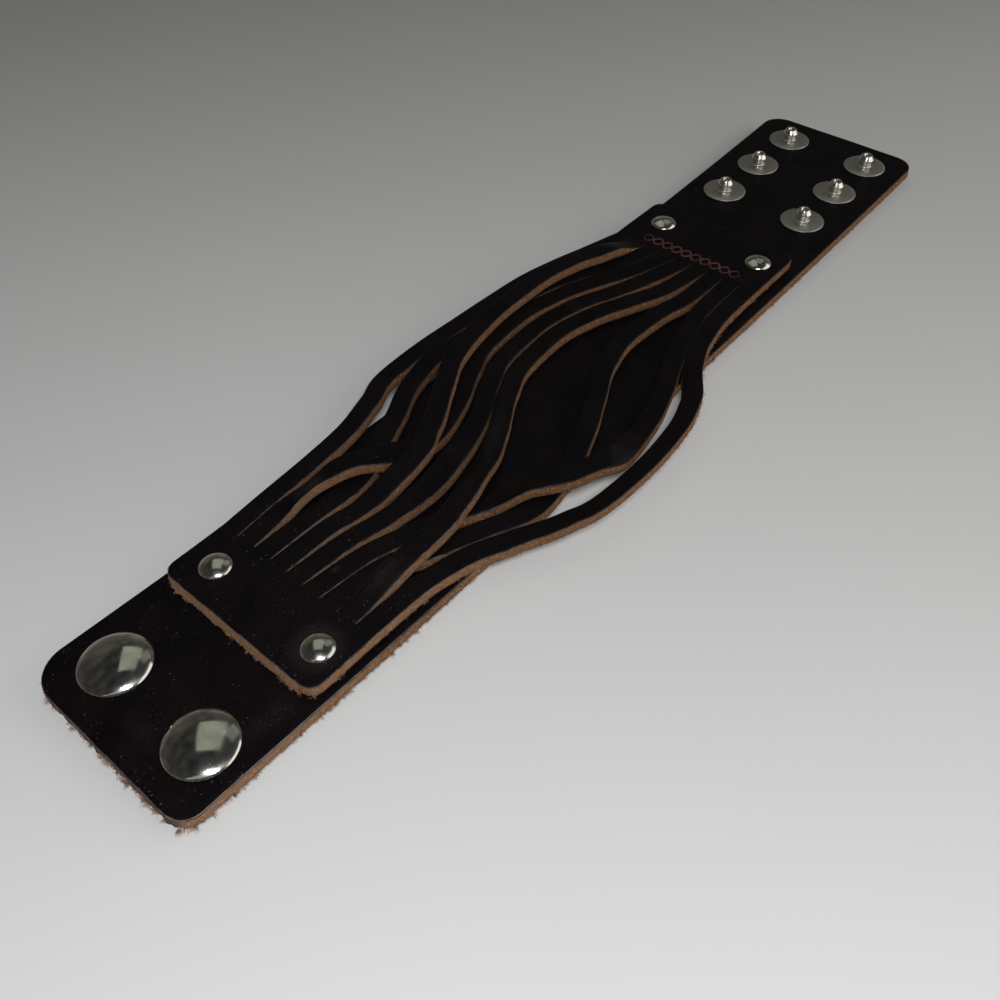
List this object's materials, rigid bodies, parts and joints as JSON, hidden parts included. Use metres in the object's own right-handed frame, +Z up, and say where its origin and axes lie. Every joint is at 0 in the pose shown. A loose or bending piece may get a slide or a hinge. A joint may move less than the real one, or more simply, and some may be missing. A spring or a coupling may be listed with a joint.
{
  "type": "leather snap cuff bracelet",
  "caption": "Flat leather wrist cuff, lying open, with a slit and woven top panel riveted to a plain strap, and snap caps at one end that close on studs at the other.",
  "frame": {"origin": "under the middle of the whole cuff, on the surface it lies on", "axes": "+X along the strap from the snap caps to the studs, +Z up out of the good side"},
  "size_m": [0.2388, 0.0602, 0.0088],
  "materials": {
    "strap_leather": "near-black, smooth and semi-gloss, with tan-brown raw edges",
    "panel_leather": "near-black with a brown tint, burnished, with fuzzy tan-brown raw edges",
    "cap_metal": "polished nickel plate",
    "rivet_metal": "polished nickel plate",
    "snap_metal": "satin nickel plate"
  },
  "bodies": {
    "root": {"strap": "strap_leather", "woven_panel": "panel_leather", "snap_cap_1": "cap_metal", "snap_cap_2": "cap_metal", "snap_socket_1": "snap_metal", "snap_socket_2": "snap_metal", "rivet_1": "rivet_metal", "rivet_2": "rivet_metal", "rivet_3": "rivet_metal", "rivet_4": "rivet_metal", "rivet_back_1": "rivet_metal", "rivet_back_2": "rivet_metal", "rivet_back_3": "rivet_metal", "rivet_back_4": "rivet_metal", "snap_stud_1": "snap_metal", "snap_stud_2": "snap_metal", "snap_stud_3": "snap_metal", "snap_stud_4": "snap_metal", "snap_stud_5": "snap_metal", "snap_stud_6": "snap_metal", "snap_post_1": "snap_metal", "snap_post_2": "snap_metal", "snap_post_3": "snap_metal", "snap_post_4": "snap_metal", "snap_post_5": "snap_metal", "snap_post_6": "snap_metal"}
  },
  "joints": []
}
